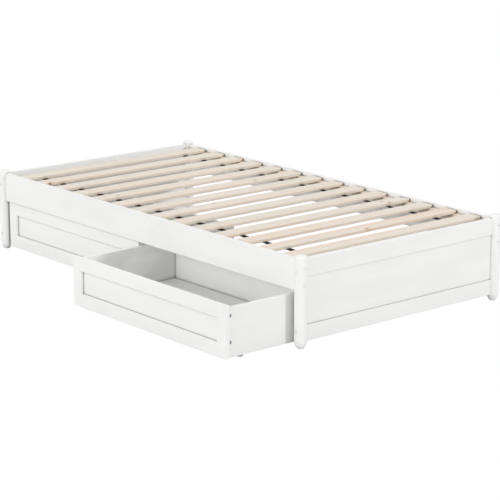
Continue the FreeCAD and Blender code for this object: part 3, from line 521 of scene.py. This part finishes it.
paintBoards(paintLook)
slatWood = makeSlatWood(woodLook)
cleatWood = makeSlatWood(woodLook, "cleatWood", (0, 0, 90))
webbing = makeWebbing(hardwareLook)
steel = makeSteel(hardwareLook)
capPlastic = makeMoulded("capPlastic", hardwareLook, "cap")
nylon = makeMoulded("wheelNylon", hardwareLook, "nylon")
dowelWood = makeDowelWood(hardwareLook)
slats = [name for name in named("slat_") if name[5:].isdigit()]
wear(slats, slatWood)
wear(named("slat_cleat"), cleatWood)
wear(named("bolt_caps"), capPlastic)
wear(named("caster_brackets") + named("caster_axles"), steel)
print("finishes made")


# Building and placing pieces

recessLook = {
    "slotArm": 0.12, "crossArm": 0.16,     # half of an arm's width, as a share of the recess
    "floorShare": 0.86,                    # the floor's size against the mouth's
}
threadLook = {"root": 0.1, "crest": 0.5}   # places in each turn of a thread
shankLook = {
    "crown": 0.12,                         # share of the head's radius
    "threaded": 0.62,                      # share of the shank that has a thread
    "pointTaper": 2.2, "bluntTaper": 0.4,  # shares of the shank's radius
    "bluntTip": 0.7,                       # share of the core's radius
}


def solidsOf(node):
    # the lowest and highest corners of each separate solid in a CAD node
    shape = bmesh.new()
    shape.from_mesh(nodes[node].data)
    bmesh.ops.remove_doubles(shape, verts=shape.verts, dist=1e-6)
    waiting = set(shape.verts)
    boxes = []
    while waiting:
        reached = [waiting.pop()]
        found = list(reached)
        while reached:
            vertex = reached.pop()
            for link in vertex.link_edges:
                other = link.other_vert(vertex)
                if other in waiting:
                    waiting.remove(other)
                    reached.append(other)
                    found.append(other)
        low = Vector([min(vertex.co[axis] for vertex in found) for axis in range(3)])
        high = Vector([max(vertex.co[axis] for vertex in found) for axis in range(3)])
        boxes.append((low, high))
    shape.free()
    return sorted(boxes, key=lambda box: tuple(round(value, 4) for value in box[0]))


def addPiece(name, shape, material, body, replaced=(), sharpAngle=35):
    # finishes a bmesh as an object at the origin that rides on a body
    mesh = bpy.data.meshes.new(name)
    shape.to_mesh(mesh)
    shape.free()
    mesh.shade_smooth()
    mesh.set_sharp_from_angle(angle=math.radians(sharpAngle))
    mesh.materials.append(material)
    piece = bpy.data.objects.new(name, mesh)
    bpy.context.scene.collection.objects.link(piece)
    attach(piece, body)
    if replaced:
        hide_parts(*replaced)


def addCopies(whole, pattern, places):
    # adds a copy of the pattern to the whole at each place, and frees the pattern
    mesh = bpy.data.meshes.new("pattern")
    pattern.to_mesh(mesh)
    pattern.free()
    for place in places:
        moved = mesh.copy()
        moved.transform(place)
        whole.from_mesh(moved)
        bpy.data.meshes.remove(moved)
    bpy.data.meshes.remove(mesh)
    return whole


def spun(outline, steps, closed=False):
    # turns an outline of (radius, height) points round Z
    shape = bmesh.new()
    corners = [shape.verts.new((radius, 0, height)) for radius, height in outline]
    pairs = list(zip(corners, corners[1:]))
    if closed:
        pairs.append((corners[-1], corners[0]))
    for first, second in pairs:
        shape.edges.new((first, second))
    bmesh.ops.spin(shape, geom=shape.verts[:] + shape.edges[:], cent=(0, 0, 0), axis=(0, 0, 1),
                   angle=math.tau, steps=steps, use_merge=True)
    bmesh.ops.remove_doubles(shape, verts=shape.verts, dist=1e-7)
    return shape


def facing(point, direction):
    # puts a piece at a point, with its own +Z along a direction
    return Matrix.Translation(point) @ Vector(direction).to_track_quat("Z", "Y").to_matrix().to_4x4()


def boundaryEdges(shape, height):
    # the open edges of a shape that lie at a height
    return [edge for edge in shape.edges
            if len(edge.link_faces) < 2 and all(abs(vertex.co.z - height) < 1e-6 for vertex in edge.verts)]


def cutRecess(shape, height, kind, width, depth):
    # closes the open ring at the top of a head with a hex, cross or slot recess
    ring = boundaryEdges(shape, height)
    known = set(shape.verts)
    if kind == "hex":
        bmesh.ops.create_circle(shape, cap_ends=True, radius=width / 2, segments=6)
    else:
        bmesh.ops.create_grid(shape, x_segments=3, y_segments=3, size=width / 2)
        across = width * recessLook[kind + "Arm"]
        fresh = [vertex for vertex in shape.verts if vertex not in known]
        for vertex in fresh:
            for axis in range(2):
                if abs(vertex.co[axis]) < width / 4:
                    vertex.co[axis] = math.copysign(across, vertex.co[axis])
        faces = {face for vertex in fresh for face in vertex.link_faces}
        spare = []
        for face in faces:
            middle = face.calc_center_median()
            offX, offY = abs(middle.x) > across, abs(middle.y) > across
            if offY and (offX or kind == "slot"):
                spare.append(face)
        bmesh.ops.delete(shape, geom=spare, context="FACES")
    fresh = [vertex for vertex in shape.verts if vertex not in known]
    for vertex in fresh:
        vertex.co.z = height
    rim = [edge for edge in shape.edges if edge.verts[0] in fresh and len(edge.link_faces) == 1]
    floor = list({face for vertex in fresh for face in vertex.link_faces})
    bmesh.ops.bridge_loops(shape, edges=ring + rim)
    sunk = bmesh.ops.extrude_face_region(shape, geom=floor)
    bmesh.ops.delete(shape, geom=floor, context="FACES")
    low = [item for item in sunk["geom"] if isinstance(item, bmesh.types.BMVert)]
    bmesh.ops.translate(shape, verts=low, vec=(0, 0, -depth))
    share = recessLook["floorShare"]
    bmesh.ops.scale(shape, verts=low, vec=(share, share, 1))
    bmesh.ops.recalc_face_normals(shape, faces=shape.faces)


def threadOutline(radius, core, top, bottom, pitch):
    # the ridges of a thread, from the top down
    count = max(1, int((top - bottom) / pitch))
    points = []
    for index in range(count):
        start = top - (top - bottom) * index / count
        points += [(core, start - pitch * threadLook["root"]), (radius, start - pitch * threadLook["crest"])]
    return points


screwLooks = {
    # drawer corner screws: a wide low head with a hex socket
    "corner": {"headRadius": 0.0065, "headHeight": 0.0016, "shank": 0.0025, "core": 0.0019, "pitch": 0.0024,
               "recess": "hex", "recessWidth": 0.0052, "recessDepth": 0.0012, "steps": 24},
    # screws through the box front into the drawer front
    "front": {"headRadius": 0.0045, "headHeight": 0.0020, "shank": 0.0020, "core": 0.0015, "pitch": 0.0018,
              "recess": "cross", "recessWidth": 0.0042, "recessDepth": 0.0012, "steps": 20},
    "cleat": {"headRadius": 0.0040, "headHeight": 0.0024, "shank": 0.0020, "core": 0.0015, "pitch": 0.0018,
              "recess": "cross", "recessWidth": 0.0040, "recessDepth": 0.0014, "steps": 20},
    "bolt": {"headRadius": 0.0060, "headHeight": 0.0030, "shank": 0.0030, "core": 0.0026, "pitch": 0.0010,
             "recess": "hex", "recessWidth": 0.0056, "recessDepth": 0.0020, "steps": 20},
    "plate": {"headRadius": 0.0032, "headHeight": 0.0016, "shank": 0.0015, "core": 0.0011, "pitch": 0.0014,
              "recess": "cross", "recessWidth": 0.0034, "recessDepth": 0.0009, "steps": 16},
}


def makeScrew(look, length, pointed=True):
    # the head's top is at zero and the shank runs down
    head, height, shank = look["headRadius"], look["headHeight"], look["shank"]
    crown = head * shankLook["crown"]
    tip = -length
    threadTop = tip + (length - height) * shankLook["threaded"]
    outline = [(head - crown, 0.0), (head - crown * 0.3, -crown * 0.3), (head, -crown),
               (head, -height + crown * 0.5), (head - crown * 0.5, -height),
               (shank, -height), (shank, threadTop)]
    taper = shank * shankLook["pointTaper" if pointed else "bluntTaper"]
    outline += threadOutline(shank, look["core"], threadTop, tip + taper, look["pitch"])
    outline.append((look["core"], tip + taper))
    if not pointed:
        outline.append((look["core"] * shankLook["bluntTip"], tip))
    outline.append((0.0, tip))
    shape = spun(outline, look["steps"])
    cutRecess(shape, 0.0, look["recess"], look["recessWidth"], look["recessDepth"])
    return shape


def endPlace(low, high, atHigh):
    # a rod's axis and length, and the place of its high or low end, facing outwards
    axis = longestAxis(high - low)
    point = (low + high) / 2
    towards = Vector((0, 0, 0))
    if atHigh(axis, point):
        towards[axis], point[axis] = 1, high[axis]
    else:
        towards[axis], point[axis] = -1, low[axis]
    return axis, high[axis] - low[axis], facing(point, towards)


def bedCentre():
    low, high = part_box("slat_straps")
    return (low + high) / 2


def makeDrawerScrews(drawer):
    # heads of the corner screws face out of the box, and heads of the front screws face into it
    node = f"{drawer}_drawer_screws"
    low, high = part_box(f"{drawer}_drawer_bottom")
    centre = (low + high) / 2
    groups = {"corner": [], "front": []}
    lengths = {}
    for box in solidsOf(node):
        axis, length, place = endPlace(*box, lambda way, middle: way == 1 or middle.x > centre.x)
        kind = "front" if axis == 1 else "corner"
        groups[kind].append(place)
        lengths[kind] = length
    whole = bmesh.new()
    for kind, places in groups.items():
        addCopies(whole, makeScrew(screwLooks[kind], lengths[kind]), places)
    addPiece(f"{drawer}DrawerScrews", whole, steel, f"{drawer}_drawer", [node])


def makeFrameScrews():
    # heads of the cleat screws face into the bed, and heads of the bed bolts face out of it
    centre = bedCentre()
    for node, name, kind, outwards in (("cleat_screws", "cleatScrews", "cleat", False),
                                       ("bed_bolts", "bedBolts", "bolt", True)):
        places = []
        for box in solidsOf(node):
            length, place = endPlace(*box, lambda way, middle: (middle[way] > centre[way]) == outwards)[1:]
            places.append(place)
        whole = addCopies(bmesh.new(), makeScrew(screwLooks[kind], length, kind == "cleat"), places)
        addPiece(name, whole, steel, "bed_frame", [node])


for drawer in ("head", "foot"):
    makeDrawerScrews(drawer)
makeFrameScrews()
print("screws made")


# Barrel nuts and fluted dowels

nutLook = {"chamfer": 0.0006, "slotWidth": 0.0072, "slotDepth": 0.0016, "steps": 24}
dowelLook = {"flutes": 16, "fluteDepth": 0.00035, "chamfer": 0.0010}


def makeBarrelNuts(look):
    # the slots face into the bed
    centre = bedCentre()
    places = []
    for low, high in solidsOf("barrel_nuts"):
        length, place = endPlace(low, high, lambda way, middle: middle[way] < centre[way])[1:]
        places.append(place)
        radius = min(high - low) / 2
    edge = look["chamfer"]
    outline = [(radius - edge, 0.0), (radius, -edge), (radius, edge - length), (radius - edge, -length),
               (0.0, -length)]
    pattern = spun(outline, look["steps"])
    cutRecess(pattern, 0.0, "slot", look["slotWidth"], look["slotDepth"])
    whole = addCopies(bmesh.new(), pattern, places)
    addPiece("barrelNuts", whole, steel, "bed_frame", ["barrel_nuts"])


def makeDowels(look):
    places = []
    for low, high in solidsOf("rail_dowels"):
        length, place = endPlace(low, high, lambda way, middle: True)[1:]
        places.append(place)
        radius = min(high - low) / 2
    edge = look["chamfer"]
    pattern = spun([(0.0, 0.0), (radius - edge, 0.0), (radius, -edge),
                    (radius, edge - length), (radius - edge, -length), (0.0, -length)], look["flutes"] * 2)
    for vertex in pattern.verts:
        step = round(math.atan2(vertex.co.y, vertex.co.x) / math.tau * look["flutes"] * 2)
        if step % 2 and vertex.co.xy.length > radius * 0.5:
            share = 1 - look["fluteDepth"] / vertex.co.xy.length
            vertex.co.x *= share
            vertex.co.y *= share
    bmesh.ops.recalc_face_normals(pattern, faces=pattern.faces)
    whole = addCopies(bmesh.new(), pattern, places)
    addPiece("railDowels", whole, dowelWood, "bed_frame", ["rail_dowels"], 25)


makeBarrelNuts(nutLook)
makeDowels(dowelLook)
print("nuts and dowels made")


# Webbing straps under the slats, with the staples that hold them

strapLook = {
    "sag": 0.0011, "sagShape": 1.5,       # between two slats
    "flatEnd": 0.15,             # share of a pitch that stays flat at the last slat
    "ribs": 9, "ribHeight": 0.00014, "rowsPerRib": 4,
    "selvedge": 0.00010, "selvedgeShare": 0.04,
    "segmentsPerPitch": 10,
}
stapleLook = {
    "width": 0.0100, "wire": 0.0011, "crown": 0.0006, "legs": 0.0070,
    "easing": 0.12, "sunk": 0.3,          # shares of the wire and of the crown
    # two staples on each slat, along the bed and across it from the strap's crossing
    "places": ((-0.018, -0.0015), (0.016, 0.0015)),
}


def makeStraps(look):
    firstX, pitch = slatRow()[:2]
    edge = look["selvedgeShare"]
    whole = bmesh.new()
    for low, high in solidsOf("slat_straps"):
        size, middle = high - low, (low + high) / 2
        strap = bmesh.new()
        bmesh.ops.create_grid(strap, x_segments=round(size.x / pitch * look["segmentsPerPitch"]),
                              y_segments=look["ribs"] * look["rowsPerRib"], size=0.5)
        bmesh.ops.scale(strap, verts=strap.verts, vec=(size.x, size.y, 1))
        bmesh.ops.translate(strap, verts=strap.verts, vec=(middle.x, middle.y, 0))
        for vertex in strap.verts:
            share = (vertex.co.y - low.y) / size.y
            between = 0.0
            if firstX < vertex.co.x < high.x - pitch * look["flatEnd"]:
                between = max(0.0, -math.cos((vertex.co.x - firstX) / pitch * math.tau)) ** look["sagShape"]
            rib = abs(math.sin(share * math.pi * look["ribs"])) - 1
            selvedge = 0.0 if edge <= share <= 1 - edge else look["selvedge"]
            vertex.co.z = high.z - look["sag"] * between + look["ribHeight"] * rib - selvedge
        bmesh.ops.recalc_face_normals(strap, faces=strap.faces)
        if strap.faces[:][0].normal.z < 0:
            bmesh.ops.reverse_faces(strap, faces=strap.faces)
        bmesh.ops.solidify(strap, geom=strap.faces[:], thickness=size.z - look["ribHeight"])
        bmesh.ops.recalc_face_normals(strap, faces=strap.faces)
        addCopies(whole, strap, [Matrix()])
    addPiece("slatStraps", whole, webbing, "bed_frame", ["slat_straps"], 50)


def makeStaples(look):
    wire, width = look["wire"], look["width"]
    pattern = bmesh.new()
    bmesh.ops.create_cube(pattern, size=1)
    bmesh.ops.scale(pattern, verts=pattern.verts, vec=(wire, width, look["crown"]))
    for side in (-1, 1):
        bmesh.ops.bisect_plane(pattern, geom=pattern.verts[:] + pattern.edges[:] + pattern.faces[:],
                               plane_co=(0, side * (width / 2 - wire), 0), plane_no=(0, 1, 0))
    for side in (-1, 1):
        top = [face for face in pattern.faces
               if face.normal.z > 0.9 and face.calc_center_median().y * side > width / 2 - wire]
        leg = bmesh.ops.extrude_face_region(pattern, geom=top)
        bmesh.ops.delete(pattern, geom=top, context="FACES_ONLY")
        up = [item for item in leg["geom"] if isinstance(item, bmesh.types.BMVert)]
        bmesh.ops.translate(pattern, verts=up, vec=(0, 0, look["legs"]))
    bmesh.ops.bevel(pattern, geom=pattern.edges[:], offset=wire * look["easing"], affect="EDGES", segments=1,
                    profile=0.5, material=-1)
    bmesh.ops.recalc_face_normals(pattern, faces=pattern.faces)
    places = []
    for low, high in solidsOf("slat_straps"):
        middleY = (low.y + high.y) / 2
        height = low.z - look["crown"] * look["sunk"]
        for slat in slats:
            slatLow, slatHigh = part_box(slat)
            middleX = (slatLow.x + slatHigh.x) / 2
            for x, y in look["places"]:
                places.append(Matrix.Translation((middleX + x, middleY + y, height)))
    whole = addCopies(bmesh.new(), pattern, places)
    addPiece("strapStaples", whole, steel, "bed_frame")


makeStraps(strapLook)
makeStaples(stapleLook)
print("straps made")


# Drawer wheels: crowned tread, dished faces, ribs round the hub

wheelLook = {
    "bore": 0.00258, "hub": 0.0055, "rim": 0.0112,      # radii
    "dish": 0.0020, "edge": 0.0005,
    # the tread's corner, each point in from the radius and from the face
    "corner": ((0.0022, 0.0), (0.0010, 0.0005), (0.0004, 0.0018)),
    "flat": 0.35,                # share of the half width that runs at the full radius
    "seam": 0.00015, "seamHalf": 0.0003,
    "ribs": 6, "ribThickness": 0.0011, "ribEase": 0.0003, "ribSunk": 0.25,
    "steps": 48,
}


def makeWheel(node, look):
    low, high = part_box(node)
    middle = (low + high) / 2
    half = (high.x - low.x) / 2
    radius = (high.z - low.z) / 2
    floor = half - look["dish"]
    bore, hub, rim, edge = look["bore"], look["hub"], look["rim"], look["edge"]
    face = [(bore, half - edge), (bore + edge, half), (hub - edge, half), (hub, half - edge),
            (hub + edge, floor), (rim - edge, floor), (rim, half - edge), (rim + edge, half)]
    face += [(radius - inwards, half - down) for inwards, down in look["corner"]]
    face += [(radius, half * look["flat"]), (radius, look["seamHalf"])]
    back = [(size, -height) for size, height in reversed(face)]
    wheel = spun(face + [(radius - look["seam"], 0.0)] + back, look["steps"], True)
    bmesh.ops.recalc_face_normals(wheel, faces=wheel.faces)

    rib = bmesh.new()
    bmesh.ops.create_cube(rib, size=1)
    tall = look["dish"] + half
    bmesh.ops.scale(rib, verts=rib.verts, vec=(rim - hub, look["ribThickness"], tall))
    tops = [part for part in rib.edges if all(vertex.co.z > 0 for vertex in part.verts)]
    bmesh.ops.bevel(rib, geom=tops, offset=look["ribEase"], affect="EDGES", segments=2,
                    profile=0.5, material=-1)
    height = half - look["dish"] * look["ribSunk"] - tall / 2
    places = []
    for index in range(look["ribs"]):
        turn = Matrix.Rotation(math.tau * index / look["ribs"], 4, "Z")
        for flip in (0, math.pi):
            over = Matrix.Rotation(flip, 4, "X")
            places.append(over @ turn @ Matrix.Translation(((rim + hub) / 2, 0, height)))
    addCopies(wheel, rib, places)
    bmesh.ops.transform(wheel, matrix=facing(middle, (1, 0, 0)), verts=wheel.verts)
    drawer, _, end, side = node.split("_")
    addPiece(f"{drawer}Wheel{end.title()}{side.title()}", wheel, nylon, node, [node])


for node in named("_wheel_"):
    makeWheel(node, wheelLook)


# Two screws hold each caster bracket to the drawer's bottom

plateScrewLook = {"length": 0.0095, "inset": 0.006, "headBelowTop": 0.0026}


def makePlateScrews(drawer, look):
    node = f"{drawer}_caster_brackets"
    places = []
    for low, high in solidsOf(node):
        middle = (low + high) / 2
        for y in (low.y + look["inset"], high.y - look["inset"]):
            places.append(facing((middle.x, y, high.z - look["headBelowTop"]), (0, 0, -1)))
    whole = addCopies(bmesh.new(), makeScrew(screwLooks["plate"], look["length"]), places)
    addPiece(f"{drawer}CasterScrews", whole, steel, f"{drawer}_drawer")


for drawer in ("head", "foot"):
    makePlateScrews(drawer, plateScrewLook)
print("wheels and caster screws made")
